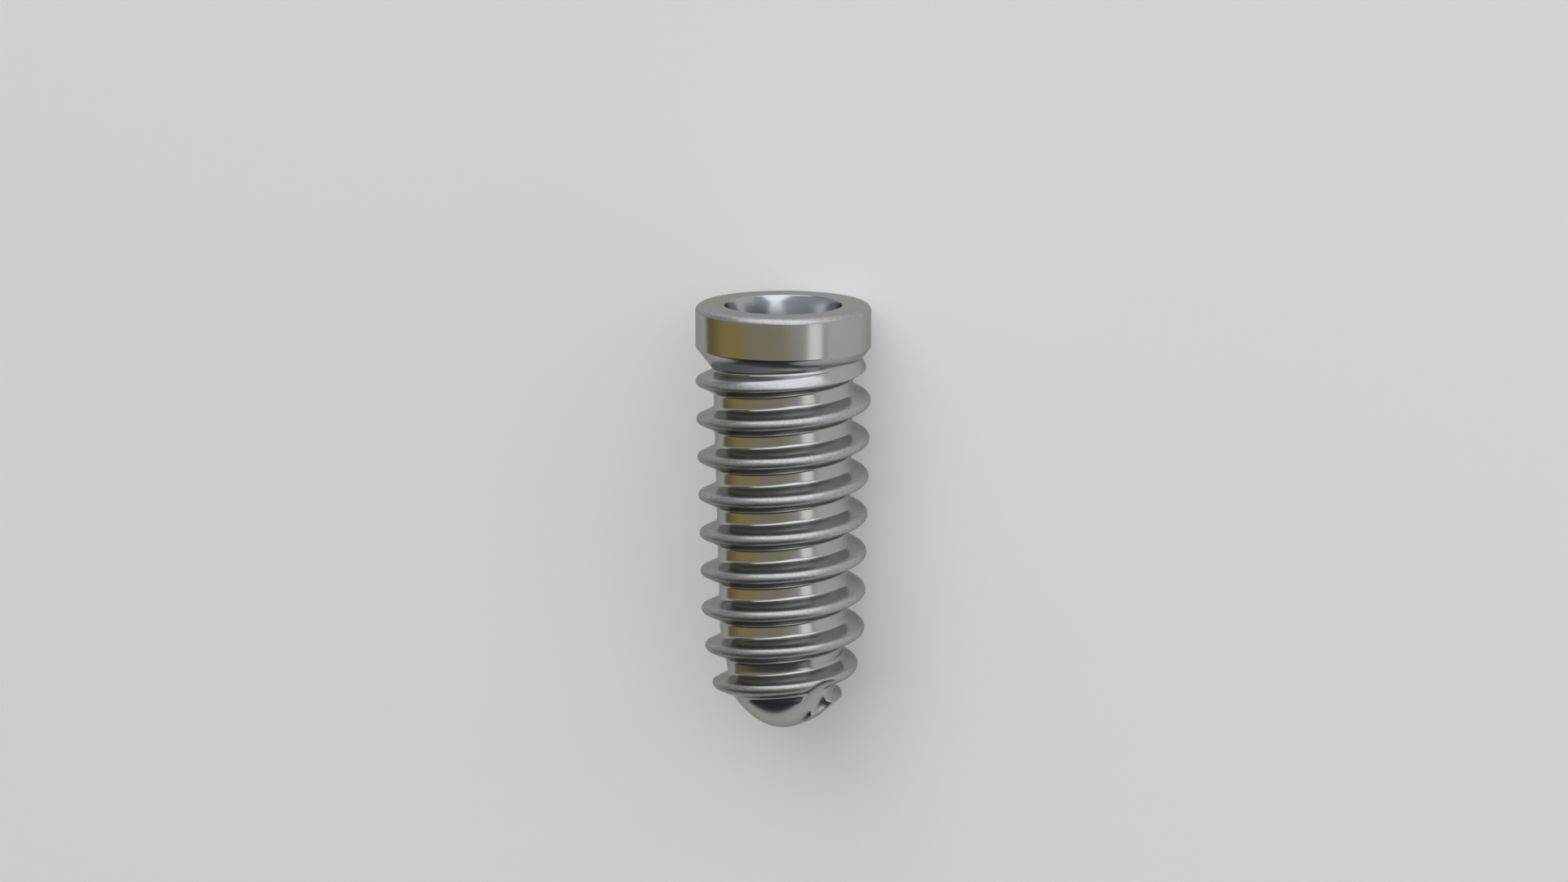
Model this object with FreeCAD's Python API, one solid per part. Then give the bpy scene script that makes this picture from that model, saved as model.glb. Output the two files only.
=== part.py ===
import FreeCAD, Part
import math
import os

from FreeCAD import Base

# A one-piece threaded dental implant, turned and milled from titanium bar.
# It is drawn upright, with its axis on Z, the platform at height 0 and the apex below it.
# "Depth" is the distance below the platform. The finished part is then laid on its side,
# as it would come to rest: axis along Y, platform towards +Y, collar on the ground plane.

# Overall sizes, in millimetres and degrees
implant_length = 10.1
collar_diameter = 4.1
collar_height = 0.98
collar_top_round = 0.14
collar_bottom_round = 0.06
neck_cone_angle = 52.0          # between the underside of the collar and the platform plane

# Threaded root, whose diameter is given where the neck cone meets it
root_diameter = 3.28
root_taper = 1.4                # half angle of the long upper stretch
apical_cone_height = 1.5        # stretch with the stronger taper, above the rounded end
apical_taper = 10.3             # half angle of that stretch
apex_height = 0.86              # rounded end below the apical cone
apex_lead = 0.06                # how far the cone's direction is kept into the rounded end
apex_end_radius = 0.72          # size of the blunt middle of the rounded end

# External thread, right-handed, with a rounded crest and a filleted root
thread_pitch = 0.906
thread_height = 0.42
thread_flank_angle = 26.0       # each flank against the radial direction
crest_radius = 0.133
fillet_radius = 0.11
first_crest_depth = 1.8         # where the crest first has its full height
run_in_angle = 25.0             # half angle of the cone that the thread grows out of
run_in_turns = 1.0              # turns of thread above the first full crest
crest_shoulder_height = 1.05    # above the tip, where the crests start to round off
crest_shoulder_angle = 49.0     # half angle of that rounding
limit_rounding = 0.05           # how softly the crests meet those two limits
run_out_height = 0.47           # above the tip, where the middle of the thread ends

# Cutting flutes, scooped out with a ball-nosed cutter where the thread ends
flute_count = 2
flute_cutter_radius = 1.0
flute_floor_radius = 1.02       # from the axis to the deepest point of the floor
flute_height = 0.49             # of the cutter's centre above the tip

# Connection bored into the head
socket_mouth_radius = 1.37
socket_cone_angle = 8.0         # half angle
socket_cone_depth = 1.2
hexagon_width = 2.06            # across flats
hexagon_depth = 1.2
screw_hole_radius = 0.71        # minor radius of the abutment screw's thread
screw_hole_length = 2.5
screw_lead_in_angle = 45.0
drill_point_angle = 118.0

# How it lies: turned about its own axis, counterclockwise as seen from the platform
rest_turn = 30.0

# How the curved surfaces are made up
sections_per_turn = 12
crest_chords = 3                # straight strips that follow the round crest
thread_sink = 0.03              # how far the thread's edges run under the root's surface
thread_back_share = 0.6         # radius of the thread's hidden back, as a share of the root's
cutter_overrun = 0.5            # run of a cutting tool past the platform
same_place = 1e-6               # two lengths closer than this are the same

# Values that follow from the sizes above
collar_radius = collar_diameter / 2
root_start_radius = root_diameter / 2
neck_cone_height = (collar_radius - root_start_radius) * math.tan(math.radians(neck_cone_angle))
root_start_depth = collar_height + neck_cone_height
apex_start_depth = implant_length - apex_height
apical_start_depth = apex_start_depth - apical_cone_height
root_slope = math.tan(math.radians(root_taper))
apical_slope = math.tan(math.radians(apical_taper))
apical_start_radius = root_start_radius - (apical_start_depth - root_start_depth) * root_slope
apex_start_radius = apical_start_radius - apical_cone_height * apical_slope
thread_start_depth = first_crest_depth - run_in_turns * thread_pitch
thread_end_depth = implant_length - run_out_height


def apex_points():
    """Control points, as (radius, depth), of the curve that rounds the end."""
    lean = math.radians(apical_taper)
    lead_radius = apex_start_radius - apex_lead * math.sin(lean)
    lead_depth = apex_start_depth + apex_lead * math.cos(lean)
    return [
        (apex_start_radius, apex_start_depth),
        (lead_radius, lead_depth),
        (apex_end_radius, implant_length),
        (0.0, implant_length),
    ]


def apex_radius_at(depth):
    """Radius of the rounded end at a depth, found by halving along its curve."""
    points = apex_points()
    low, high = 0.0, 1.0
    for _ in range(40):
        t = (low + high) / 2
        weights = [(1 - t) ** 3, 3 * t * (1 - t) ** 2, 3 * t * t * (1 - t), t ** 3]
        if sum(w * p[1] for w, p in zip(weights, points)) < depth:
            low = t
        else:
            high = t
    return sum(w * p[0] for w, p in zip(weights, points))


def root_radius_at(depth):
    """Radius of the root's surface at a depth, carried on upwards inside the neck and collar."""
    if depth > apex_start_depth:
        return apex_radius_at(min(depth, implant_length))
    if depth > apical_start_depth:
        return apical_start_radius - (depth - apical_start_depth) * apical_slope
    return root_start_radius - (depth - root_start_depth) * root_slope


def soft_minimum(a, b):
    """The smaller of two radii, with the corner between them rounded."""
    return (a + b - math.sqrt((a - b) ** 2 + limit_rounding ** 2)) / 2


def thread_radius_at(depth, height):
    """Radius of a point of the thread, kept inside the run-in cone and the apical shoulder."""
    run_in = root_radius_at(first_crest_depth) + thread_height + limit_rounding
    run_in += (depth - first_crest_depth) * math.tan(math.radians(run_in_angle))
    shoulder_depth = implant_length - crest_shoulder_height
    shoulder = root_radius_at(shoulder_depth) + thread_height + limit_rounding
    shoulder -= (depth - shoulder_depth) * math.tan(math.radians(crest_shoulder_angle))
    return soft_minimum(root_radius_at(depth) + height, min(run_in, shoulder))


def thread_angle(depth):
    """Angle at which the middle of the thread passes a depth; it falls as the thread descends."""
    return math.pi - 2 * math.pi * (depth - first_crest_depth) / thread_pitch


def thread_section():
    """The thread's section, from its lower to its upper edge, as (offset, height over the root).

    The offset is measured towards the platform. The chords of the crest touch its circle, as the
    flanks do. Each side runs down the flank to the root fillet, and the fillet's chord carries it
    a little under the root's surface.
    """
    flank = math.radians(thread_flank_angle)
    round_turn = math.pi / 2 - flank
    half_chord = round_turn / (crest_chords + 1)
    reach = crest_radius / math.cos(half_chord)
    centre = thread_height - crest_radius
    turns = [half_chord * i for i in range(1, crest_chords + 1, 2)]
    half = [(reach * math.sin(turn), centre + reach * math.cos(turn)) for turn in turns]
    crest_foot = half[-1]
    fillet_top = fillet_radius * (1 - math.sin(flank))
    fillet_offset = crest_foot[0] + (crest_foot[1] - fillet_top) * math.tan(flank)
    half.append((fillet_offset, fillet_top))
    edge_offset = fillet_offset + (fillet_top + thread_sink) / math.tan(round_turn / 2)
    half.append((edge_offset, -thread_sink))
    return [(-offset, height) for offset, height in reversed(half)] + half


def turned_point(radius, angle, depth):
    return Base.Vector(radius * math.cos(angle), radius * math.sin(angle), -depth)


def helical_edge(offset, height, middles):
    """The curve that one point of the thread's section follows, given the middle's depths."""
    points = []
    for middle in middles:
        depth = middle - offset
        points.append(turned_point(thread_radius_at(depth, height), thread_angle(middle), depth))
    edge = Part.BSplineCurve()
    edge.interpolate(Points=points, Parameters=[float(i) for i in range(len(points))])
    return edge


def drawn_in(edge):
    """The ridge's edge, drawn in towards the axis to the ridge's hidden back."""
    back = edge.copy()
    for i, pole in enumerate(edge.getPoles(), 1):
        back.setPole(i, Base.Vector(pole.x * thread_back_share, pole.y * thread_back_share, pole.z))
    return back


def strip_between(one, other):
    """The surface of straight lines between two curves that have the same knots."""
    strip = Part.BSplineSurface()
    strip.buildFromPolesMultsKnots(
        [list(pair) for pair in zip(one.getPoles(), other.getPoles())],
        one.getMultiplicities(), [2, 2], one.getKnots(), [0.0, 1.0], False, False, one.Degree, 1,
    )
    return strip


def make_thread():
    """The helical ridge, as a closed solid whose back lies inside the root.

    Its strips are made in lengths of about one turn.
    """
    run = thread_end_depth - thread_start_depth
    turns = int(math.ceil(run / thread_pitch))
    steps = turns * sections_per_turn
    middles = [thread_start_depth + run * i / steps for i in range(steps + 1)]
    edges = [helical_edge(offset, height, middles) for offset, height in thread_section()]
    outline = edges + [drawn_in(edges[-1]), drawn_in(edges[0]), edges[0]]
    cuts = [i * sections_per_turn for i in range(turns + 1)]
    faces = []
    for cut in (cuts[0], cuts[-1]):
        faces.append(Part.Face(Part.makePolygon([edge.value(cut) for edge in outline])))
    for first, last in zip(cuts, cuts[1:]):
        lengths = [edge.copy() for edge in outline]
        for length in lengths:
            length.segment(first, last)
        faces += [strip_between(one, other).toShape() for one, other in zip(lengths, lengths[1:])]
    shell = Part.makeShell(faces)
    shell.sewShape()
    ridge = Part.makeSolid(shell)
    if ridge.Volume < 0:
        ridge.reverse()
    return ridge


def revolve(points, curves=()):
    """Turns the outline through (radius, depth) points, then the curves, about the Z axis."""
    corners = [Base.Vector(radius, 0, -depth) for radius, depth in points]
    edges = [Part.makeLine(a, b) for a, b in zip(corners, corners[1:])]
    edges.extend(curves)
    end = edges[-1].lastVertex(True).Point
    edges.append(Part.makeLine(end, corners[0]))
    return Part.Face(Part.Wire(edges)).revolve(Base.Vector(0, 0, 0), Base.Vector(0, 0, 1), 360)


def round_circle(solid, radius, depth, size):
    """Rounds the circular edge of the given radius and depth."""
    circles = [e for e in solid.Edges if not e.Degenerated and isinstance(e.Curve, Part.Circle)]
    chosen = [
        e for e in circles
        if abs(e.Curve.Radius - radius) < same_place and abs(e.Curve.Center.z + depth) < same_place
    ]
    return solid.makeFillet(size, chosen)


def make_blank():
    """The turned outside: collar, neck cone, tapered root and rounded apex."""
    rounded_end = Part.BezierCurve()
    rounded_end.setPoles([Base.Vector(radius, 0, -depth) for radius, depth in apex_points()])
    blank = revolve(
        [
            (0, 0),
            (collar_radius, 0),
            (collar_radius, collar_height),
            (root_start_radius, root_start_depth),
            (apical_start_radius, apical_start_depth),
            (apex_start_radius, apex_start_depth),
        ],
        [rounded_end.toShape()],
    )
    blank = round_circle(blank, collar_radius, 0, collar_top_round)
    return round_circle(blank, collar_radius, collar_height, collar_bottom_round)


def make_flute_cutter(angle):
    radius = flute_floor_radius + flute_cutter_radius
    depth = implant_length - flute_height
    return Part.makeSphere(flute_cutter_radius, turned_point(radius, angle, depth))


def make_socket():
    """The space in the head: cone, hexagon, lead-in, screw hole and drill point."""
    cone_slope = math.tan(math.radians(socket_cone_angle))
    hexagon_end = socket_cone_depth + hexagon_depth
    lead_in = (hexagon_width / 2 - screw_hole_radius) / math.tan(math.radians(screw_lead_in_angle))
    hole_start = hexagon_end + lead_in
    hole_end = hole_start + screw_hole_length
    hole_tip = hole_end + screw_hole_radius / math.tan(math.radians(drill_point_angle / 2))
    cone = revolve([
        (0, -cutter_overrun),
        (socket_mouth_radius + cutter_overrun * cone_slope, -cutter_overrun),
        (socket_mouth_radius - socket_cone_depth * cone_slope, socket_cone_depth),
        (0, socket_cone_depth),
    ])
    hole = revolve([
        (0, socket_cone_depth),
        (hexagon_width / 2, socket_cone_depth),
        (hexagon_width / 2, hexagon_end),
        (screw_hole_radius, hole_start),
        (screw_hole_radius, hole_end),
        (0, hole_tip),
    ])
    corner_radius = hexagon_width / 2 / math.cos(math.pi / 6)
    corners = [turned_point(corner_radius, math.radians(60 * i), socket_cone_depth) for i in range(7)]
    hexagon = Part.Face(Part.makePolygon(corners)).extrude(Base.Vector(0, 0, -hexagon_depth))
    return [cone, hexagon, hole]


def make_implant():
    body = make_blank().fuse(make_thread())
    cutters = make_socket()
    for i in range(flute_count):
        cutters.append(make_flute_cutter(thread_angle(thread_end_depth) + 2 * math.pi * i / flute_count))
    for cutter in cutters:
        body = body.cut(cutter)
    solid = body.Solids[0]
    solid.rotate(Base.Vector(0, 0, 0), Base.Vector(0, 0, 1), rest_turn)
    solid.rotate(Base.Vector(0, 0, 0), Base.Vector(1, 0, 0), -90)
    solid.translate(Base.Vector(0, implant_length / 2, collar_radius))
    return solid


os.makedirs("parts", exist_ok=True)
make_implant().exportStep("parts/implant_body.step")
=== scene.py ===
"""A dental implant lying on a pale floor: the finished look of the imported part."""

import math

import bmesh
import bpy
from bpy.props import FloatProperty, FloatVectorProperty, IntProperty, PointerProperty
from mathutils import Matrix, Vector


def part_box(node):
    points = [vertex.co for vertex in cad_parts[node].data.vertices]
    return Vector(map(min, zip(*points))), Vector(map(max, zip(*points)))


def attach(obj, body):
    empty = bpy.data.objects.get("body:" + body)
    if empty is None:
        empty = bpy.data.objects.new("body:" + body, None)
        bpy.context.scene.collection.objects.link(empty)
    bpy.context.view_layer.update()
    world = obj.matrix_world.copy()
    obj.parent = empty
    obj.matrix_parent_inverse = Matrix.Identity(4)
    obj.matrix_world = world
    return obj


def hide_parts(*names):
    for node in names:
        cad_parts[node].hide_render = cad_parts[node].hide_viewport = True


bl_info = {
    "name": "Dental implant",
    "version": (1, 0, 0),
    "blender": (4, 5, 0),
    "location": "3D View > Sidebar > Implant",
    "description": "Builds a threaded titanium implant and the stage it lies on",
    "category": "Object",
}

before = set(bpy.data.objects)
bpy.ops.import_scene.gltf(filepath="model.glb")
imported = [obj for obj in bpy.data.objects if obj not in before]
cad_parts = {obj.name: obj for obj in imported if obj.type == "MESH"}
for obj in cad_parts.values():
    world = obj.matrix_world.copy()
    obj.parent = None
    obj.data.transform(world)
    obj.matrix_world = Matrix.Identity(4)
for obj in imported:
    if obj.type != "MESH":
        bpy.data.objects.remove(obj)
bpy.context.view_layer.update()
node_low, node_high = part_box("implant_body")
MM = 0.001
DEGREE = math.pi / 180


# Sizes and colours that a user would change


def length(name, description, default):
    return FloatProperty(
        name=name, description=description, default=default, min=0.0,
        unit="LENGTH", subtype="DISTANCE", precision=6,
    )


def angle(name, description, default):
    return FloatProperty(
        name=name, description=description, default=default * DEGREE,
        unit="ROTATION", subtype="ANGLE", precision=3,
    )


def colour(name, description, default):
    return FloatVectorProperty(
        name=name, description=description, default=default, size=3, min=0.0, max=1.0,
        subtype="COLOR",
    )


class BodySizes(bpy.types.PropertyGroup):
    """Sizes of the turned and threaded outside."""

    full_length: length(
        "Length", "From the platform to the tip", node_high.y - node_low.y
    )
    collar_diameter: length(
        "Collar Diameter", "Across the smooth collar", node_high.z - node_low.z
    )
    collar_height: length("Collar Height", "Of the straight collar", 0.98 * MM)
    collar_top_round: length("Collar Top Round", "Radius of the platform's outer edge", 0.14 * MM)
    collar_bottom_round: length("Collar Bottom Round", "Radius of the collar's lower edge", 0.06 * MM)
    neck_cone_angle: angle("Neck Cone Angle", "Of the underside against the platform", 52.0)
    root_diameter: length("Root Diameter", "Where the neck cone meets the root", 3.28 * MM)
    root_taper: angle("Root Taper", "Half angle of the root", 1.4)
    apical_cone_height: length("Apical Cone Height", "Stretch with the stronger taper", 1.5 * MM)
    apical_taper: angle("Apical Taper", "Half angle of the apical cone", 10.3)
    apex_height: length("Apex Height", "Of the rounded end", 0.86 * MM)
    apex_lead: length("Apex Lead", "How far the cone runs into the rounded end", 0.06 * MM)
    apex_end_radius: length("Apex End Radius", "Of the blunt middle of the end", 0.72 * MM)
    rest_turn: angle("Resting Turn", "About the implant's own axis", 30.0)


class ThreadSizes(bpy.types.PropertyGroup):
    """Sizes of the bone thread and of the cutting flutes."""

    pitch: length("Pitch", "From crest to crest", 0.906 * MM)
    height: length("Height", "Of the crest over the root", 0.42 * MM)
    flank_angle: angle("Flank Angle", "Against the radial direction", 26.0)
    crest_radius: length("Crest Radius", "Of the rounded crest", 0.133 * MM)
    fillet_radius: length("Fillet Radius", "Where the flanks meet the root", 0.11 * MM)
    first_crest_depth: length("First Crest Depth", "Of the first full crest", 1.8 * MM)
    run_in_angle: angle("Run-in Angle", "Of the cone the thread grows out of", 25.0)
    run_in_turns: FloatProperty(
        name="Run-in Turns", description="Turns above the first full crest", default=1.0, min=0.0
    )
    shoulder_height: length("Shoulder Height", "Above the tip, where crests round off", 1.05 * MM)
    shoulder_angle: angle("Shoulder Angle", "Half angle of that rounding", 49.0)
    limit_rounding: length("Limit Rounding", "Softness of the crests' limits", 0.05 * MM)
    run_out_height: length("Run-out Height", "Above the tip, where the thread ends", 0.47 * MM)
    flute_count: IntProperty(name="Flutes", description="Cutting flutes", default=2, min=1)
    flute_cutter_radius: length("Flute Cutter Radius", "Of the ball-nosed cutter", 1.0 * MM)
    flute_floor_radius: length("Flute Floor Radius", "Axis to the flute's floor", 1.02 * MM)
    flute_height: length("Flute Height", "Of the cutter above the tip", 0.49 * MM)


class SocketSizes(bpy.types.PropertyGroup):
    """Sizes of the connection bored into the head."""

    mouth_radius: length("Mouth Radius", "Of the cone at the platform", 1.37 * MM)
    mouth_round: length("Mouth Round", "Radius of the mouth's edge", 0.03 * MM)
    cone_angle: angle("Cone Angle", "Half angle of the cone", 8.0)
    cone_depth: length("Cone Depth", "Below the platform", 1.2 * MM)
    hexagon_width: length("Hexagon Width", "Across the flats", 2.06 * MM)
    hexagon_depth: length("Hexagon Depth", "Of the hexagon alone", 1.2 * MM)
    screw_hole_radius: length("Screw Hole Radius", "Minor radius of its thread", 0.71 * MM)
    screw_hole_length: length("Screw Hole Length", "Of the threaded wall", 2.5 * MM)
    lead_in_angle: angle("Lead-in Angle", "Of the lead-in to the hole", 45.0)
    drill_point_angle: angle("Drill Point Angle", "Of the hole's end", 118.0)
    screw_pitch: length("Screw Pitch", "Of the fine internal thread", 0.35 * MM)
    screw_groove: length("Screw Groove", "Depth of the fine thread", 0.19 * MM)
    screw_flank: angle("Screw Flank Angle", "Each flank of the fine thread", 30.0)


class FinishColours(bpy.types.PropertyGroup):
    """Colours of the metal and of the stage."""

    titanium: colour("Titanium", "Bare machined titanium", (0.47, 0.475, 0.475))
    floor: colour("Floor", "The plain floor", (0.88, 0.88, 0.87))
    room_edge: colour("Room Edge", "Dim room low on the left", (0.17, 0.14, 0.055))
    room_left: colour("Room Left", "Dim room on the left", (0.37, 0.29, 0.10))
    room_middle: colour("Room Middle", "Dim room behind the camera", (0.34, 0.31, 0.21))
    room_right: colour("Room Right", "Dim room on the right", (0.44, 0.45, 0.40))
    room_high: colour("Room High", "A little above the implant's level", (0.40, 0.45, 0.52))
    room_top: colour("Room Top", "Far above the implant's level", (0.11, 0.13, 0.16))
    room_end: colour("Room End", "Past the implant's tip", (0.03, 0.035, 0.04))


# Node trees, written as formulas


def compute(tree, operation, *values):
    """One math node whose inputs are formulas or plain numbers."""
    node = tree.nodes.new("ShaderNodeMath")
    node.operation = operation
    for slot, value in zip(node.inputs, values):
        if isinstance(value, Formula):
            tree.links.new(value.socket, slot)
        else:
            slot.default_value = value
    return Formula(tree, node.outputs[0])


class Formula:
    """A number in a node tree, which can be used in plain expressions."""

    def __init__(self, tree, socket):
        self.tree = tree
        self.socket = socket

    def __add__(self, other):
        return compute(self.tree, "ADD", self, other)

    def __radd__(self, other):
        return compute(self.tree, "ADD", other, self)

    def __sub__(self, other):
        return compute(self.tree, "SUBTRACT", self, other)

    def __rsub__(self, other):
        return compute(self.tree, "SUBTRACT", other, self)

    def __mul__(self, other):
        return compute(self.tree, "MULTIPLY", self, other)

    def __truediv__(self, other):
        return compute(self.tree, "DIVIDE", self, other)

    def __lt__(self, other):
        return compute(self.tree, "LESS_THAN", self, other)

    def __gt__(self, other):
        return compute(self.tree, "GREATER_THAN", self, other)

    def use(self, operation, *others):
        return compute(self.tree, operation, self, *others)


def square_root(value):
    return value.use("MAXIMUM", 0.0).use("SQRT")


def soft_least(one, other, rounding):
    """The smaller of two numbers, rounded off where they cross."""
    apart = one - other
    return (one + other - square_root(apart * apart + rounding * rounding)) * 0.5


def from_whole(value):
    """How far a number is from the nearest whole number, with its sign."""
    return value - value.use("ROUND")


class PartTree:
    """A geometry tree that moves points in or out along the radius of the implant's axis."""

    def __init__(self, name, material):
        self.tree = bpy.data.node_groups.new(name, "GeometryNodeTree")
        self.material = material
        self.values = {}
        interface = self.tree.interface
        interface.new_socket("Geometry", in_out="INPUT", socket_type="NodeSocketGeometry")
        interface.new_socket("Geometry", in_out="OUTPUT", socket_type="NodeSocketGeometry")
        self.group_in = self.tree.nodes.new("NodeGroupInput")

        position = self.tree.nodes.new("GeometryNodeInputPosition")
        split = self.tree.nodes.new("ShaderNodeSeparateXYZ")
        self.tree.links.new(position.outputs["Position"], split.inputs[0])
        self.along = Formula(self.tree, split.outputs["Y"])
        self.across = Formula(self.tree, split.outputs["X"])
        self.axis_height = self.size("Axis Height", cad_axis_height())
        self.down = self.axis_height - Formula(self.tree, split.outputs["Z"])
        self.depth = self.size("Half Length", node_high.y) - self.along
        self.radius = square_root(self.across * self.across + self.down * self.down)
        direction = compute(self.tree, "ARCTAN2", self.down, self.across)
        self.angle = direction - self.size("Resting Turn", body().rest_turn)

    def size(self, name, value):
        """A named input of the tree, as a formula."""
        socket = self.tree.interface.new_socket(
            name, in_out="INPUT", socket_type="NodeSocketFloat"
        )
        socket.default_value = value
        self.values[socket.identifier] = value
        return Formula(self.tree, self.group_in.outputs[name])

    def attribute(self, name):
        node = self.tree.nodes.new("GeometryNodeInputNamedAttribute")
        node.data_type = "FLOAT"
        node.inputs["Name"].default_value = name
        return Formula(self.tree, node.outputs["Attribute"])

    def finish(self, radius, edge=None):
        """Moves the points to the given radius, marks the blasted edges, and ends the tree."""
        nodes, links = self.tree.nodes, self.tree.links
        scale = radius / self.radius
        place = nodes.new("ShaderNodeCombineXYZ")
        links.new((self.across * scale).socket, place.inputs["X"])
        links.new(self.along.socket, place.inputs["Y"])
        links.new((self.axis_height - self.down * scale).socket, place.inputs["Z"])
        geometry = self.group_in.outputs["Geometry"]
        if edge is not None:
            store = nodes.new("GeometryNodeStoreNamedAttribute")
            store.data_type = "FLOAT"
            store.domain = "POINT"
            store.inputs["Name"].default_value = "edge"
            links.new(edge.socket, store.inputs["Value"])
            links.new(geometry, store.inputs["Geometry"])
            geometry = store.outputs[0]
        move = nodes.new("GeometryNodeSetPosition")
        links.new(place.outputs[0], move.inputs["Position"])
        links.new(geometry, move.inputs["Geometry"])
        smooth = nodes.new("GeometryNodeSetShadeSmooth")
        links.new(move.outputs[0], smooth.inputs["Geometry"])
        realize = nodes.new("GeometryNodeRealizeInstances")
        links.new(smooth.outputs[0], realize.inputs["Geometry"])
        finish = nodes.new("GeometryNodeSetMaterial")
        finish.inputs["Material"].default_value = self.material
        links.new(realize.outputs[0], finish.inputs["Geometry"])
        group_out = nodes.new("NodeGroupOutput")
        links.new(finish.outputs[0], group_out.inputs["Geometry"])

    def apply(self, skin):
        """Runs the tree on an object and keeps the result as its plain mesh."""
        modifier = skin.modifiers.new(self.tree.name, "NODES")
        modifier.node_group = self.tree
        for identifier, value in self.values.items():
            modifier[identifier] = value
        graph = bpy.context.evaluated_depsgraph_get()
        result = bpy.data.meshes.new_from_object(skin.evaluated_get(graph))
        skin.modifiers.remove(modifier)
        blank = skin.data
        skin.data = result
        bpy.data.meshes.remove(blank)


# Values that follow from the sizes


def body():
    return bpy.context.scene.implant_body_sizes


def thread():
    return bpy.context.scene.implant_thread_sizes


def connection():
    return bpy.context.scene.implant_socket_sizes


def colours():
    return bpy.context.scene.implant_colours


def cad_axis_height():
    return (node_low.z + node_high.z) / 2


def root_start_depth():
    sizes = body()
    drop = (sizes.collar_diameter - sizes.root_diameter) / 2 * math.tan(sizes.neck_cone_angle)
    return sizes.collar_height + drop


def band_start_depth():
    """Where the rows that run with the thread begin, on the neck cone."""
    return root_start_depth() - NECK_BAND


def apex_start_depth():
    return body().full_length - body().apex_height


def apical_start_depth():
    return apex_start_depth() - body().apical_cone_height


def root_radius_at(depth):
    """Radius of the neck cone and of the root above the rounded end."""
    sizes = body()
    upper = sizes.root_diameter / 2
    if depth < root_start_depth():
        return upper + (root_start_depth() - depth) / math.tan(sizes.neck_cone_angle)
    if depth <= apical_start_depth():
        return upper - (depth - root_start_depth()) * math.tan(sizes.root_taper)
    start = upper - (apical_start_depth() - root_start_depth()) * math.tan(sizes.root_taper)
    return start - (depth - apical_start_depth()) * math.tan(sizes.apical_taper)


def thread_end_angle():
    """Direction from the axis in which the thread ends."""
    run = body().full_length - thread().run_out_height - thread().first_crest_depth
    return math.pi - 2 * math.pi * run / thread().pitch


def arc(centre, radius, start, end, steps):
    """Points (radius, depth) of an arc, between two directions given from the radial one."""
    points = []
    for i in range(steps + 1):
        turn = start + (end - start) * i / steps
        points.append((centre[0] + radius * math.cos(turn), centre[1] + radius * math.sin(turn)))
    return points


def line(start, end, steps):
    """Points of a straight run, without its first one."""
    return [
        tuple(a + (b - a) * i / steps for a, b in zip(start, end)) for i in range(1, steps + 1)
    ]


# Turned skins, and how finely they are made

COLUMNS = 192
CREST_STEPS = 12
FLANK_STEPS = 3
FILLET_STEPS = 5
ROOT_STEPS = 2
PLATFORM_ROWS = 6
TOP_ROUND_ROWS = 8
COLLAR_ROWS = 6
BOTTOM_ROUND_ROWS = 5
NECK_ROWS = 5
APEX_ROWS = 76
APEX_CURVE_STEPS = 1000
MOUTH_ROWS = 4
CONE_ROWS = 8
HEXAGON_ROWS = 6
LEAD_IN_ROWS = 3
SCREW_ROWS = 62
DRILL_POINT_ROWS = 5
NECK_BAND = 0.3 * MM
LEAST_GAP = 0.002 * MM
SAME_PLACE = 0.0001 * MM
SHARP_ANGLE = 40 * DEGREE


def head_outline():
    """Outline of the platform, the collar and the neck cone."""
    sizes, socket = body(), connection()
    outer = sizes.collar_diameter / 2
    top, bottom = sizes.collar_top_round, sizes.collar_bottom_round
    lean = sizes.neck_cone_angle
    points = [(socket.mouth_radius + socket.mouth_round, 0.0)]
    points += line(points[0], (outer - top, 0.0), PLATFORM_ROWS)
    points += arc((outer - top, top), top, -math.pi / 2, 0.0, TOP_ROUND_ROWS)[1:]
    # the lower round touches the collar's side and the neck cone
    turn = math.pi / 2 - lean
    start = (outer, sizes.collar_height - bottom * math.tan(turn / 2))
    points += line(points[-1], start, COLLAR_ROWS)
    points += arc((outer - bottom, start[1]), bottom, 0.0, turn, BOTTOM_ROUND_ROWS)[1:]
    neck_end = (root_radius_at(band_start_depth()), band_start_depth())
    points += line(points[-1], neck_end, NECK_ROWS)
    return points


def apex_outline():
    """Outline of the rounded end, from the apical cone to the tip, evenly spaced."""
    sizes = body()
    start = (root_radius_at(apex_start_depth()), apex_start_depth())
    lead = (
        start[0] - sizes.apex_lead * math.sin(sizes.apical_taper),
        start[1] + sizes.apex_lead * math.cos(sizes.apical_taper),
    )
    control = [start, lead, (sizes.apex_end_radius, sizes.full_length), (0.0, sizes.full_length)]
    fine = []
    for i in range(APEX_CURVE_STEPS + 1):
        t = i / APEX_CURVE_STEPS
        weights = [(1 - t) ** 3, 3 * t * (1 - t) ** 2, 3 * t * t * (1 - t), t ** 3]
        fine.append(tuple(sum(w * p[axis] for w, p in zip(weights, control)) for axis in (0, 1)))
    lengths = [0.0]
    for a, b in zip(fine, fine[1:]):
        lengths.append(lengths[-1] + math.dist(a, b))
    points = []
    for row in range(1, APEX_ROWS + 1):
        target = lengths[-1] * row / APEX_ROWS
        points.append(fine[min(range(len(fine)), key=lambda i: abs(lengths[i] - target))])
    return points


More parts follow.
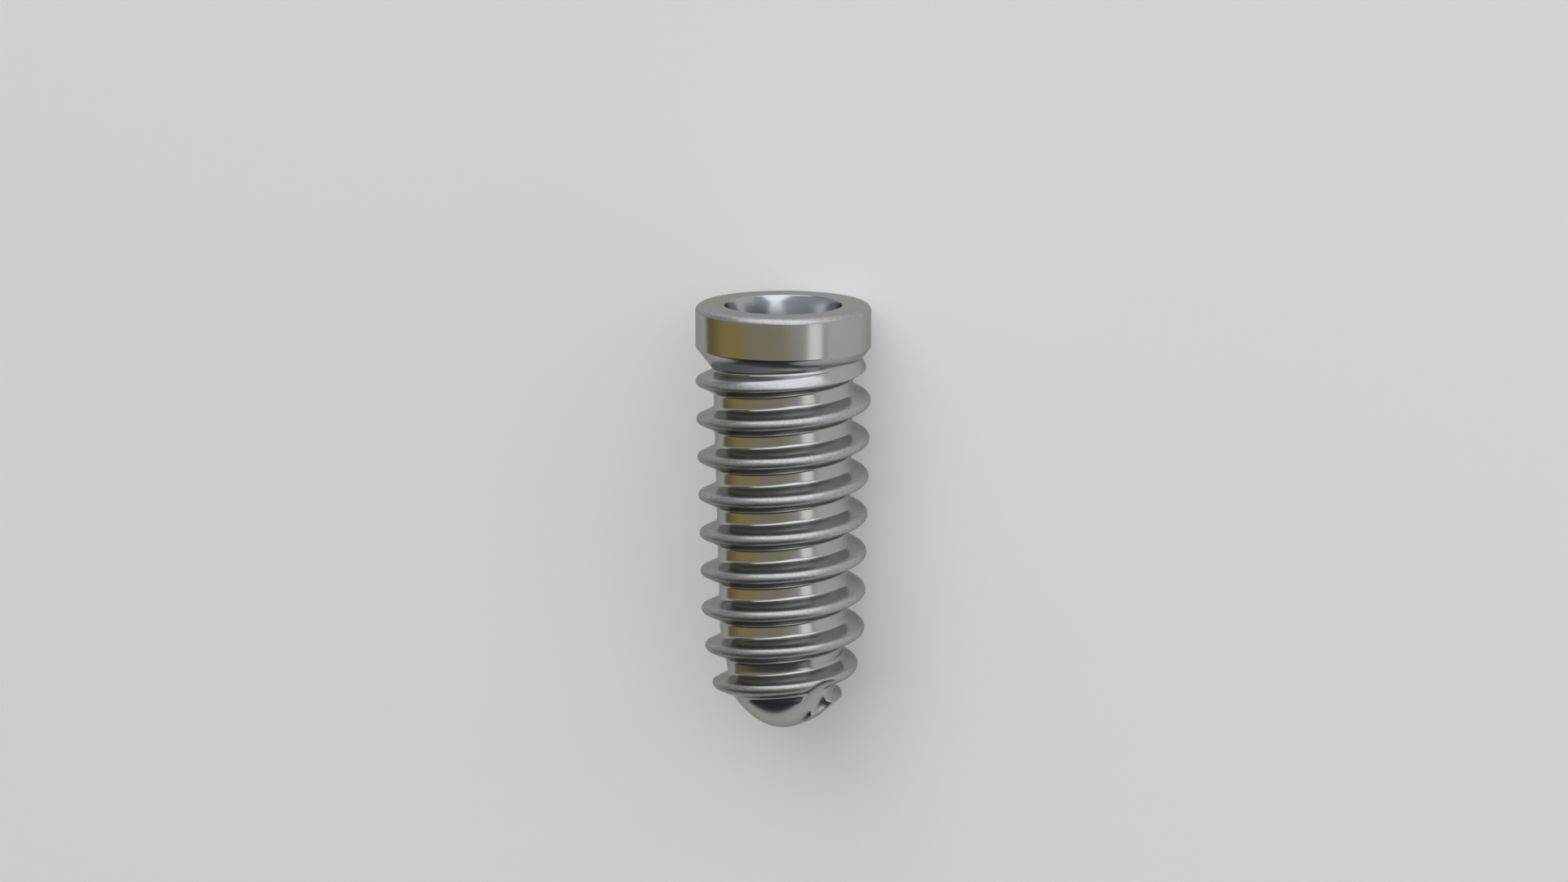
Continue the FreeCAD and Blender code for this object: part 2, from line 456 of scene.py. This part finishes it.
def section_offsets():
    """Places across one pitch, from the crest's middle, at which the thread gets its rows."""
    sizes = thread()
    flank = sizes.flank_angle
    crest_foot = sizes.crest_radius * math.cos(flank)
    foot_height = sizes.height - sizes.crest_radius * (1 - math.sin(flank))
    fillet_top = sizes.fillet_radius * (1 - math.sin(flank))
    fillet_start = crest_foot + (foot_height - fillet_top) * math.tan(flank)
    fillet_end = fillet_start + sizes.fillet_radius * math.cos(flank)
    turn = math.pi / 2 - flank
    half = []
    for i in range(CREST_STEPS // 2 + 1):
        half.append(sizes.crest_radius * math.sin(turn * i / CREST_STEPS * 2))
    for i in range(1, FLANK_STEPS + 1):
        half.append(crest_foot + (fillet_start - crest_foot) * i / FLANK_STEPS)
    for i in range(1, FILLET_STEPS + 1):
        half.append(fillet_end - sizes.fillet_radius * math.sin(turn * (1 - i / FILLET_STEPS)))
    for i in range(1, ROOT_STEPS + 1):
        half.append(fillet_end + (sizes.pitch / 2 - fillet_end) * i / ROOT_STEPS)
    return [-offset for offset in reversed(half[1:])] + half[:-1]


def placed(radius, depth, column):
    """Where a point of a column lies, with the implant in its resting turn."""
    direction = 2 * math.pi * column / COLUMNS + body().rest_turn
    return Vector((
        radius * math.cos(direction),
        node_high.y - depth,
        cad_axis_height() - radius * math.sin(direction),
    ))


class Skin:
    """Vertices and faces of a turned surface, built ring by ring."""

    def __init__(self):
        self.vertices = []
        self.faces = []
        self.marks = {}

    def point(self, radius, depth, column, **marks):
        self.vertices.append(placed(radius, depth, column))
        index = len(self.vertices) - 1
        for name, value in marks.items():
            self.marks.setdefault(name, {})[index] = value
        return index

    def ring(self, radius, depth, **marks):
        if radius < LEAST_GAP:
            return [self.point(0.0, depth, 0, **marks)] * COLUMNS
        return [self.point(radius, depth, column, **marks) for column in range(COLUMNS)]

    def face(self, *corners):
        kept = [c for i, c in enumerate(corners) if c != corners[i - 1]]
        if len(set(kept)) > 2:
            self.faces.append(kept)

    def join(self, upper, lower):
        for column in range(COLUMNS):
            after = (column + 1) % COLUMNS
            self.face(upper[column], upper[after], lower[after], lower[column])

    def helical_band(self, upper, top, lower, bottom):
        """Rows that run with the thread, between a ring at each end."""
        offsets = section_offsets()
        per_turn = len(offsets)
        pitch, first = thread().pitch, thread().first_crest_depth
        skipped = math.ceil((first + pitch - top) / pitch)
        rows = per_turn * (math.ceil((bottom - top) / pitch) + 3)

        def row_depth(column, row):
            lead = first + pitch * (0.5 - column / COLUMNS)
            return lead + pitch * (row // per_turn - skipped) + offsets[row % per_turn]

        corner = root_start_depth()
        indices = []
        on_corner = set()
        for column in range(COLUMNS):
            run = []
            # one row keeps to the corner between the neck cone and the root
            cornered = min(range(rows), key=lambda row: abs(row_depth(column, row) - corner))
            for row in range(rows):
                depth = corner if row == cornered else row_depth(column, row)
                if depth < top + LEAST_GAP:
                    run.append(upper[column])
                elif depth > bottom - LEAST_GAP:
                    run.append(lower[column])
                else:
                    run.append(self.point(root_radius_at(depth), depth, column))
            on_corner.add(run[cornered])
            indices.append(run)
        # the last column meets the first one a turn further on
        first_again = [upper[0]] * per_turn + indices[0]
        for one, other in zip(indices, indices[1:] + [first_again]):
            for row in range(rows - 1):
                if one[row + 1] in on_corner and other[row] in on_corner:
                    self.face(one[row], other[row], one[row + 1])
                    self.face(other[row], other[row + 1], one[row + 1])
                else:
                    self.face(one[row], other[row], other[row + 1], one[row + 1])

    def make(self, name):
        mesh = bpy.data.meshes.new(name)
        mesh.from_pydata(self.vertices, [], self.faces)
        for mark, values in self.marks.items():
            layer = mesh.attributes.new(mark, "FLOAT", "POINT")
            for index, value in values.items():
                layer.data[index].value = value
        mesh.validate()
        skin = bpy.data.objects.new(name, mesh)
        bpy.context.scene.collection.objects.link(skin)
        return skin


# Materials

TURNED_ROUGHNESS = 0.20
BORED_ROUGHNESS = 0.18
EDGE_ROUGHNESS = 0.22
LEAST_ROUGHNESS = 0.05
UNEVEN_ROUGHNESS = 0.06
UNEVEN_TINT = 0.14
SPECKLED_TINT = 0.6
GRAZING_TINT = (0.60, 0.60, 0.57)
MARK_SPACING = 0.035 * MM
MARK_DEPTH = 0.002 * MM
MARK_STRENGTH = 0.02
PATCHES_PER_METRE = 900.0
SPECKLES_PER_METRE = 16000.0
CREST_EDGE_SHARE = 0.70
CREST_EDGE_GAIN = 6.0
FLOOR_ROUGHNESS = 0.9
FLOOR_SHINE = 0.1
FLOOR_GLOW = 0.15


def noise(nodes, scale, detail):
    """A noise texture of the given scale and detail."""
    texture = nodes.new("ShaderNodeTexNoise")
    texture.inputs["Scale"].default_value = scale
    texture.inputs["Detail"].default_value = detail
    return texture


def titanium(name, base, roughness):
    """Machined titanium: fine turning marks round the axis and a slightly uneven polish."""
    material = bpy.data.materials.new(name)
    material.use_nodes = True
    nodes, links = material.node_tree.nodes, material.node_tree.links
    nodes.clear()
    output = nodes.new("ShaderNodeOutputMaterial")
    shader = nodes.new("ShaderNodeBsdfPrincipled")
    links.new(shader.outputs[0], output.inputs["Surface"])
    shader.inputs["Metallic"].default_value = 1.0
    shader.inputs["Specular Tint"].default_value = (*GRAZING_TINT, 1.0)

    place = nodes.new("ShaderNodeTexCoord")
    split = nodes.new("ShaderNodeSeparateXYZ")
    links.new(place.outputs["Object"], split.inputs[0])
    tree = material.node_tree
    along = Formula(tree, split.outputs["Y"])
    across = Formula(tree, split.outputs["X"])
    down = cad_axis_height() - Formula(tree, split.outputs["Z"])
    radius = square_root(across * across + down * down)

    # turning marks change along the axis and the radius, and hardly round the part
    marks_at = nodes.new("ShaderNodeCombineXYZ")
    links.new((along / MARK_SPACING).socket, marks_at.inputs["X"])
    links.new((radius / MARK_SPACING).socket, marks_at.inputs["Y"])
    marks = noise(nodes, 1.0, 3.0)
    links.new(marks_at.outputs[0], marks.inputs["Vector"])
    marked = Formula(tree, marks.outputs["Fac"]) - 0.5
    bump = nodes.new("ShaderNodeBump")
    bump.inputs["Strength"].default_value = MARK_STRENGTH
    bump.inputs["Distance"].default_value = MARK_DEPTH
    links.new(marks.outputs["Fac"], bump.inputs["Height"])
    links.new(bump.outputs[0], shader.inputs["Normal"])

    # large patches make the polish uneven, and the edge attribute marks what was blasted
    patches = noise(nodes, PATCHES_PER_METRE, 2.0)
    links.new(place.outputs["Object"], patches.inputs["Vector"])
    uneven = Formula(tree, patches.outputs["Fac"]) - 0.5
    blasted = nodes.new("ShaderNodeAttribute")
    blasted.attribute_name = "edge"
    edge = Formula(tree, blasted.outputs["Fac"])
    rough = roughness + (marked + uneven) * UNEVEN_ROUGHNESS + edge * EDGE_ROUGHNESS
    links.new(rough.use("MAXIMUM", LEAST_ROUGHNESS).socket, shader.inputs["Roughness"])

    # the blasted edges are speckled
    speckles = noise(nodes, SPECKLES_PER_METRE, 2.0)
    links.new(place.outputs["Object"], speckles.inputs["Vector"])
    speckled = (Formula(tree, speckles.outputs["Fac"]) - 0.5) * edge
    tint = nodes.new("ShaderNodeVectorMath")
    tint.operation = "SCALE"
    tint.inputs[0].default_value = base
    brightness = uneven * UNEVEN_TINT + speckled * SPECKLED_TINT + 1.0
    links.new(brightness.socket, tint.inputs["Scale"])
    links.new(tint.outputs[0], shader.inputs["Base Color"])
    return material


def floor_finish():
    """A pale matt floor, with a little glow that only the camera and reflections see."""
    material = bpy.data.materials.new("pale matt floor")
    material.use_nodes = True
    tree = material.node_tree
    shader = tree.nodes["Principled BSDF"]
    shader.inputs["Base Color"].default_value = (*colours().floor, 1.0)
    shader.inputs["Roughness"].default_value = FLOOR_ROUGHNESS
    shader.inputs["Specular IOR Level"].default_value = FLOOR_SHINE
    shader.inputs["Emission Color"].default_value = (*colours().floor, 1.0)
    ray = tree.nodes.new("ShaderNodeLightPath")
    seen = Formula(tree, ray.outputs["Is Camera Ray"])
    seen = seen + Formula(tree, ray.outputs["Is Glossy Ray"])
    seen = seen + Formula(tree, ray.outputs["Is Transmission Ray"])
    glow = seen.use("MINIMUM", 1.0) * FLOOR_GLOW
    tree.links.new(glow.socket, shader.inputs["Emission Strength"])
    return material


# Operators


class IMPLANT_OT_outside(bpy.types.Operator):
    """Turn the collar, the neck and the root, then cut the bone thread and the flutes"""

    bl_idname = "implant.outside"
    bl_label = "Threaded Outside"

    def execute(self, context):
        skin = Skin()
        rings = [skin.ring(*point) for point in head_outline()]
        for upper, lower in zip(rings, rings[1:]):
            skin.join(upper, lower)
        apex = [(root_radius_at(apex_start_depth()), apex_start_depth())] + apex_outline()
        apex_rings = [skin.ring(*point) for point in apex]
        for upper, lower in zip(apex_rings, apex_rings[1:]):
            skin.join(upper, lower)
        skin.helical_band(rings[-1], band_start_depth(), apex_rings[0], apex_start_depth())
        outside = skin.make("outside")
        metal = titanium("turned titanium", colours().titanium, TURNED_ROUGHNESS)
        self.cut_thread(metal).apply(outside)
        return {"FINISHED"}

    def cut_thread(self, metal):
        sizes, shape = thread(), body()
        part = PartTree("bone thread and flutes", metal)
        pitch = part.size("Pitch", sizes.pitch)
        height = part.size("Thread Height", sizes.height)
        flank = part.size("Flank Angle", sizes.flank_angle)
        crest_radius = part.size("Crest Radius", sizes.crest_radius)
        fillet_radius = part.size("Fillet Radius", sizes.fillet_radius)
        first = part.size("First Crest Depth", sizes.first_crest_depth)

        # the section of the thread: round crest, straight flank, fillet
        turns = (part.depth - first) / pitch + part.angle / (2 * math.pi) - 0.5
        offset = from_whole(turns) * pitch
        distance = offset.use("ABSOLUTE")
        foot = crest_radius * flank.use("COSINE")
        foot_height = height - crest_radius * (1.0 - flank.use("SINE"))
        fillet_top = fillet_radius * (1.0 - flank.use("SINE"))
        fillet_start = foot + (foot_height - fillet_top) * flank.use("TANGENT")
        fillet_end = fillet_start + fillet_radius * flank.use("COSINE")
        crest = height - crest_radius + square_root(crest_radius * crest_radius - distance * distance)
        side = foot_height - (distance - foot) / flank.use("TANGENT")
        left = fillet_end - distance
        fillet = fillet_radius - square_root(fillet_radius * fillet_radius - left * left)
        upper = side + (crest - side) * (distance < foot)
        on_flank = distance < fillet_start
        on_fillet = (1.0 - on_flank) * (distance < fillet_end)
        rise = upper * on_flank + fillet * on_fillet

        # the root under the thread, and the two limits that the crests keep
        root_radius = part.size("Root Radius", shape.root_diameter / 2)
        root_depth = part.size("Root Start Depth", root_start_depth())
        root_taper = part.size("Root Taper", shape.root_taper)
        root_line = root_radius - (part.depth - root_depth) * root_taper.use("TANGENT")
        base = part.radius.use("MINIMUM", root_line)
        rounding = part.size("Limit Rounding", sizes.limit_rounding)
        full = root_radius_at(sizes.first_crest_depth)
        run_in = part.size("Run-in Root Radius", full) + height + rounding
        run_in_angle = part.size("Run-in Angle", sizes.run_in_angle)
        run_in = run_in + (part.depth - first) * run_in_angle.use("TANGENT")
        shoulder_depth = shape.full_length - sizes.shoulder_height
        shoulder_at = part.size("Shoulder Depth", shoulder_depth)
        shoulder = part.size("Shoulder Root Radius", root_radius_at(shoulder_depth))
        shoulder = shoulder + height + rounding
        shoulder_angle = part.size("Shoulder Angle", sizes.shoulder_angle)
        shoulder = shoulder - (part.depth - shoulder_at) * shoulder_angle.use("TANGENT")
        limit = run_in.use("MINIMUM", shoulder)
        ridge = soft_least(base + rise, limit, rounding)
        # the limit leaves the foot of the fillets where it is
        ridge = ridge + (base - soft_least(base, limit, rounding)) * (1.0 - rise / height)
        middle = part.depth - offset
        start = part.size("Thread Start", sizes.first_crest_depth - sizes.run_in_turns * sizes.pitch)
        end = part.size("Thread End", shape.full_length - sizes.run_out_height)
        there = (middle > start) * (middle < end)
        threaded = part.radius + (ridge - part.radius).use("MAXIMUM", 0.0) * there

        # the flutes, scooped out by a ball
        spacing = part.size("Flute Spacing", 2 * math.pi / sizes.flute_count)
        flute_angle = part.size("Flute Angle", thread_end_angle())
        cutter = part.size("Cutter Radius", sizes.flute_cutter_radius)
        cutter_at = part.size("Cutter Distance", sizes.flute_floor_radius + sizes.flute_cutter_radius)
        cutter_depth = part.size("Cutter Depth", shape.full_length - sizes.flute_height)
        around = from_whole((part.angle - flute_angle) / spacing) * spacing
        aside = cutter_at * around.use("SINE")
        below = part.depth - cutter_depth
        room = cutter * cutter - aside * aside - below * below
        near = cutter_at * around.use("COSINE") - square_root(room)
        cut = (threaded - near).use("MAXIMUM", 0.0) * (room > 0.0)

        # the crests and the collar's top round are blasted, and the flutes are not
        crest_share = (threaded - part.radius) / height
        crest_edge = (crest_share - CREST_EDGE_SHARE) * CREST_EDGE_GAIN
        crest_edge = crest_edge.use("MAXIMUM", 0.0).use("MINIMUM", 1.0)
        top_round = part.size("Top Round", shape.collar_top_round)
        collar_radius = part.size("Collar Radius", shape.collar_diameter / 2)
        collar_edge = (part.depth < top_round) * (part.radius > collar_radius - top_round)
        edge = crest_edge * (1.0 - (room > 0.0)) + collar_edge
        part.finish(threaded - cut, edge)
        return part


class IMPLANT_OT_connection(bpy.types.Operator):
    """Bore the cone, the hexagon and the threaded screw hole, and close them to the outside"""

    bl_idname = "implant.connection"
    bl_label = "Bored Connection"

    def execute(self, context):
        outside = bpy.data.objects.get("outside")
        if outside is None:
            raise RuntimeError("The threaded outside has to be made before the connection")
        skin = Skin()
        rings = [skin.ring(*point, hexagon=six, screw=fine) for *point, six, fine in self.outline()]
        for upper, lower in zip(rings, rings[1:]):
            skin.join(upper, lower)
        bore = skin.make("bore")
        metal = titanium("bored titanium", colours().titanium, BORED_ROUGHNESS)
        self.cut_socket(metal).apply(bore)
        bore.data.set_sharp_from_angle(angle=SHARP_ANGLE)
        implant = self.close(outside, bore)
        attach(implant, "root")
        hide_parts("implant_body")
        return {"FINISHED"}

    def outline(self):
        """Rows (radius, depth, hexagon, screw thread) from the mouth to the drill's tip."""
        sizes = connection()
        slope = math.tan(sizes.cone_angle)
        edge = sizes.mouth_round
        hexagon_end = sizes.cone_depth + sizes.hexagon_depth
        inscribed = sizes.hexagon_width / 2
        hole = sizes.screw_hole_radius
        hole_start = hexagon_end + (inscribed - hole) / math.tan(sizes.lead_in_angle)
        hole_end = hole_start + sizes.screw_hole_length
        tip = hole_end + hole / math.tan(sizes.drill_point_angle / 2)
        rows = []
        lowest = -math.pi + sizes.cone_angle
        mouth = (sizes.mouth_radius + edge, edge)
        for point in arc(mouth, edge, -math.pi / 2, lowest, MOUTH_ROWS):
            rows.append((*point, 0.0, 0.0))
        cone_end = (sizes.mouth_radius - sizes.cone_depth * slope, sizes.cone_depth)
        for point in line(rows[-1][:2], cone_end, CONE_ROWS):
            rows.append((*point, 0.0, 0.0))
        hexagon_top = (inscribed, sizes.cone_depth)
        rows.append((*hexagon_top, 1.0, 0.0))
        for point in line(hexagon_top, (inscribed, hexagon_end), HEXAGON_ROWS):
            rows.append((*point, 1.0, 0.0))
        # the hexagon's floor runs in to a circle just inside its flats
        rows.append((inscribed - LEAST_GAP / 2, hexagon_end, 0.0, 0.0))
        for point in line((inscribed, hexagon_end), (hole, hole_start), LEAD_IN_ROWS):
            rows.append((*point, 0.0, 0.0))
        for point in line((hole, hole_start), (hole, hole_end), SCREW_ROWS):
            rows.append((*point, 0.0, 1.0))
        rows[-1] = (hole, hole_end, 0.0, 0.0)
        for point in line((hole, hole_end), (0.0, tip), DRILL_POINT_ROWS):
            rows.append((*point, 0.0, 0.0))
        return rows

    def cut_socket(self, metal):
        sizes = connection()
        part = PartTree("hexagon and screw thread", metal)
        half_width = part.size("Half Hexagon Width", sizes.hexagon_width / 2)
        sixth = math.pi / 3
        around = from_whole(part.angle / sixth - 0.5) * sixth
        flat = half_width / around.use("COSINE")
        shaped = part.radius + (flat - part.radius) * part.attribute("hexagon")
        pitch = part.size("Screw Pitch", sizes.screw_pitch)
        groove = part.size("Screw Groove", sizes.screw_groove)
        offset = from_whole(part.depth / pitch + part.angle / (2 * math.pi)) * pitch
        flank = part.size("Screw Flank Angle", sizes.screw_flank)
        deep = (groove - offset.use("ABSOLUTE") / flank.use("TANGENT")).use("MAXIMUM", 0.0)
        part.finish(shaped + deep * part.attribute("screw"))
        return part

    def close(self, outside, bore):
        """One closed body from the two skins, with its faces outwards."""
        mesh = bpy.data.meshes.new("implant")
        work = bmesh.new()
        work.from_mesh(outside.data)
        own = len(work.faces)
        work.from_mesh(bore.data)
        work.faces.ensure_lookup_table()
        for face in work.faces[own:]:
            face.material_index = 1
        bmesh.ops.remove_doubles(work, verts=work.verts, dist=SAME_PLACE)
        bmesh.ops.recalc_face_normals(work, faces=work.faces)
        work.to_mesh(mesh)
        work.free()
        mesh.materials.append(outside.data.materials[0])
        mesh.materials.append(bore.data.materials[0])
        implant = bpy.data.objects.new("implant", mesh)
        bpy.context.scene.collection.objects.link(implant)
        bpy.data.objects.remove(outside)
        bpy.data.objects.remove(bore)
        return implant


class IMPLANT_OT_stage(bpy.types.Operator):
    """Lay a pale floor and set up soft lights and the camera"""

    bl_idname = "implant.stage"
    bl_label = "Stage"

    def execute(self, context):
        self.floor()
        self.world()
        self.lights()
        self.camera()
        context.scene.view_settings.view_transform = "Standard"
        return {"FINISHED"}

    def floor(self):
        mesh = bpy.data.meshes.new("floor")
        reach = 1.5
        mesh.from_pydata(
            [(-reach, -reach, 0), (reach, -reach, 0), (reach, reach, 0), (-reach, reach, 0)],
            [], [(0, 1, 2, 3)],
        )
        floor = bpy.data.objects.new("floor", mesh)
        mesh.materials.append(floor_finish())
        bpy.context.scene.collection.objects.link(floor)

    def world(self):
        """A dim room: warm at the implant's level, cool above it, dark past its tip."""
        world = bpy.data.worlds.new("studio")
        bpy.context.scene.world = world
        world.use_nodes = True
        nodes, links = world.node_tree.nodes, world.node_tree.links
        place = nodes.new("ShaderNodeTexCoord")
        split = nodes.new("ShaderNodeSeparateXYZ")
        links.new(place.outputs["Generated"], split.inputs[0])
        none, full = (0.0, 0.0, 0.0), (1.0, 1.0, 1.0)
        level = self.room_ramp(world.node_tree, split.outputs["X"], (
            (-0.99, colours().room_edge), (-0.80, colours().room_left),
            (-0.55, colours().room_left), (-0.15, colours().room_middle),
            (0.45, colours().room_middle), (0.85, colours().room_right),
        ))
        height = self.room_ramp(world.node_tree, split.outputs["Y"], (
            (-0.52, none), (-0.38, full), (-0.08, full), (0.05, none),
        ))
        beyond = self.room_ramp(world.node_tree, split.outputs["Y"], (
            (-0.6, colours().room_end), (0.0, colours().room_top),
            (0.08, colours().room_high), (0.30, colours().room_high), (0.45, colours().room_top),
        ))
        mix = nodes.new("ShaderNodeMix")
        mix.data_type = "RGBA"
        # places of the sockets of a mix node that is set to colours
        factor, first, second, mixed = 0, 6, 7, 2
        links.new(height, mix.inputs[factor])
        links.new(beyond, mix.inputs[first])
        links.new(level, mix.inputs[second])
        links.new(mix.outputs[mixed], nodes["Background"].inputs["Color"])

    def room_ramp(self, tree, value, stops):
        """Colours at places between -1 and 1 of a direction's share along one axis."""
        along = tree.nodes.new("ShaderNodeMapRange")
        along.inputs["From Min"].default_value = -1.0
        along.inputs["From Max"].default_value = 1.0
        tree.links.new(value, along.inputs["Value"])
        node = tree.nodes.new("ShaderNodeValToRGB")
        tree.links.new(along.outputs["Result"], node.inputs["Fac"])
        ramp = node.color_ramp
        while len(ramp.elements) < len(stops):
            ramp.elements.new(0.5)
        for element, (place, tone) in zip(ramp.elements, stops):
            element.position = (place + 1) / 2
            element.color = (*tone, 1.0)
        return node.outputs["Color"]

    def lights(self):
        self.area(
            "front softbox", azimuth=4.0, elevation=54.0, distance=0.36,
            size=(0.80, 0.58), power=1.85,
        )
        self.area(
            "platform softbox", azimuth=-10.0, elevation=84.0, distance=0.30,
            size=(0.60, 0.16), power=0.05,
        )
        self.area(
            "right softbox", azimuth=42.0, elevation=-14.0, distance=0.30,
            size=(0.18, 0.10), power=0.040,
        )

    def area(self, name, azimuth, elevation, distance, size, power):
        """A softbox seen from the implant, its angles in degrees from the camera's side."""
        light = bpy.data.lights.new(name, "AREA")
        light.shape = "RECTANGLE"
        light.size, light.size_y = size
        light.energy = power
        lamp = bpy.data.objects.new(name, light)
        turn = azimuth * DEGREE + body().rest_turn
        level = math.cos(elevation * DEGREE)
        way = Vector((level * math.sin(turn), math.sin(elevation * DEGREE), level * math.cos(turn)))
        lamp.location = way * distance + Vector((0, 0, cad_axis_height()))
        lamp.rotation_euler = (-way).to_track_quat("-Z", "Y").to_euler()
        bpy.context.scene.collection.objects.link(lamp)

    def camera(self):
        """The photo's view: a long lens, a little above the platform's side of the implant."""
        lens = bpy.data.cameras.new("camera")
        lens.sensor_width = 36.0
        lens.lens = 130.05
        lens.clip_start = 0.005
        lens.clip_end = 20.0
        camera = bpy.data.objects.new("camera", lens)
        pitch = 11.057 * DEGREE
        distance = 129.99 * MM
        rise = 22.16 * MM
        aside = 0.018 * MM
        turn = Matrix.Rotation(body().rest_turn, 4, "Y")
        axis = Vector((0.0, 0.0, cad_axis_height()))
        place = Vector((aside, node_high.y + rise, distance))
        camera.location = axis + turn @ place
        back = turn @ Vector((0.0, math.sin(pitch), math.cos(pitch)))
        up = turn @ Vector((0.0, math.cos(pitch), -math.sin(pitch)))
        right = up.cross(back)
        camera.rotation_euler = Matrix((right, up, back)).transposed().to_euler()
        bpy.context.scene.collection.objects.link(camera)
        bpy.context.scene.camera = camera


class IMPLANT_PT_panel(bpy.types.Panel):
    """Lists the implant's pieces in the order they are made"""

    bl_label = "Dental Implant"
    bl_idname = "IMPLANT_PT_panel"
    bl_space_type = "VIEW_3D"
    bl_region_type = "UI"
    bl_category = "Implant"

    def draw(self, context):
        column = self.layout.column()
        for operator in OPERATORS:
            column.operator(operator.bl_idname)


OPERATORS = (IMPLANT_OT_outside, IMPLANT_OT_connection, IMPLANT_OT_stage)
SETTINGS = {
    "implant_body_sizes": BodySizes,
    "implant_thread_sizes": ThreadSizes,
    "implant_socket_sizes": SocketSizes,
    "implant_colours": FinishColours,
}


def register():
    for cls in (*SETTINGS.values(), *OPERATORS, IMPLANT_PT_panel):
        bpy.utils.register_class(cls)
    for name, group in SETTINGS.items():
        setattr(bpy.types.Scene, name, PointerProperty(type=group))


def unregister():
    for name in SETTINGS:
        delattr(bpy.types.Scene, name)
    for cls in reversed((*SETTINGS.values(), *OPERATORS, IMPLANT_PT_panel)):
        bpy.utils.unregister_class(cls)


def main():
    register()
    bpy.ops.implant.outside()
    bpy.ops.implant.connection()
    bpy.ops.implant.stage()


if __name__ == "__main__":
    main()
